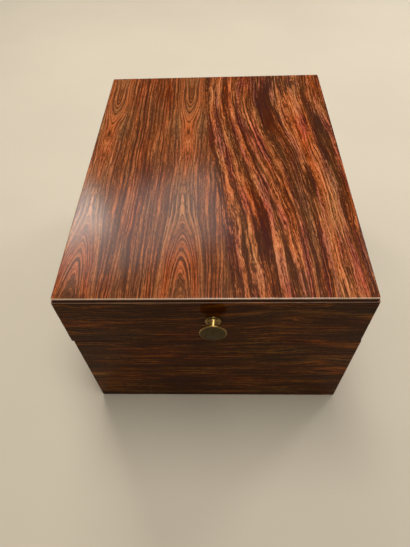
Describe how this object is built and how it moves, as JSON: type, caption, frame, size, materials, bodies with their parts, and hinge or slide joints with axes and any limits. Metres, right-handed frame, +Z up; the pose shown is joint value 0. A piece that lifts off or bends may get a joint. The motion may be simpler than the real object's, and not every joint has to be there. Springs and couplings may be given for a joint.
{
  "type": "dressing box",
  "caption": "Rectangular veneered dressing box with a deep hinged lid, a turned knob, a mirror inside the lid and a lined lift-out tray with compartments over a padded well.",
  "frame": {"origin": "on the surface the box stands on, under the middle of the base", "axes": "+X to the box's right seen from the front, +Y to its back where the hinges are, +Z up; the knob faces -Y"},
  "size_m": [0.2416, 0.3299, 0.175],
  "materials": {
    "rosewood_veneer": "figured veneer under a rubbed semi-gloss lacquer",
    "mahogany": "satin, oiled",
    "birch_plywood": "bare, sanded",
    "brass": "turned and polished, slightly tarnished",
    "steel": "plain, satin",
    "mirror_glass": "silvered, with a bevelled edge",
    "velvet": "short cotton pile",
    "baize": "woollen, napped",
    "leather": "smooth, cut edges"
  },
  "bodies": {
    "base": {"base_back_board": "rosewood_veneer", "base_baize": "baize", "base_bottom_panel": "birch_plywood", "base_front_board": "rosewood_veneer", "base_left_board": "rosewood_veneer", "base_right_board": "rosewood_veneer", "hinge_base_screws": "brass", "hinge_left_base_leaf": "brass", "hinge_left_pin": "steel", "hinge_right_base_leaf": "brass", "hinge_right_pin": "steel", "lining_back": "velvet", "lining_front": "velvet", "lining_left": "velvet", "lining_right": "velvet", "tray_bearer_left": "mahogany", "tray_bearer_right": "mahogany", "well_pad_back": "velvet", "well_pad_front": "velvet", "well_partition": "mahogany"},
    "lid": {"hinge_left_lid_leaf": "brass", "hinge_lid_screws": "brass", "hinge_right_lid_leaf": "brass", "knob": "brass", "knob_screw": "steel", "knob_washer": "steel", "lid_back_board": "rosewood_veneer", "lid_front_board": "rosewood_veneer", "lid_left_board": "rosewood_veneer", "lid_right_board": "rosewood_veneer", "lid_top_panel": "rosewood_veneer", "mirror_backing": "birch_plywood", "mirror_bead_back": "mahogany", "mirror_bead_front": "mahogany", "mirror_bead_left": "mahogany", "mirror_bead_right": "mahogany", "mirror_glass": "mirror_glass"},
    "tray": {"jewel_lid_ledges": "mahogany", "ring_rolls": "velvet", "tray_back_board": "mahogany", "tray_cross_divider_back": "mahogany", "tray_cross_divider_front": "mahogany", "tray_divider_back_left": "mahogany", "tray_divider_back_right": "mahogany", "tray_divider_front_left": "mahogany", "tray_divider_front_right": "mahogany", "tray_floor": "birch_plywood", "tray_front_board": "mahogany", "tray_left_board": "mahogany", "tray_lift_tabs": "leather", "tray_pads": "velvet", "tray_right_board": "mahogany"},
    "jewel_lid_left": {"jewel_knob_left": "brass", "jewel_lid_left": "mahogany"},
    "jewel_lid_right": {"jewel_knob_right": "brass", "jewel_lid_right": "mahogany"}
  },
  "joints": [
    {"name": "lid_hinge", "type": "hinge", "parent": "base", "child": "lid", "pos_m": [0, 0.1568, 0.11415], "axis": [-1, 0, 0], "range_deg": [0, 98]},
    {"name": "tray_lift", "type": "slide", "parent": "base", "child": "tray", "axis": [0, 0, 1], "range_m": [0, 0.032]},
    {"name": "jewel_lid_left_lift", "type": "slide", "parent": "tray", "child": "jewel_lid_left", "axis": [0, 0, 1], "range_m": [0, 0.008]},
    {"name": "jewel_lid_right_lift", "type": "slide", "parent": "tray", "child": "jewel_lid_right", "axis": [0, 0, 1], "range_m": [0, 0.008]}
  ]
}
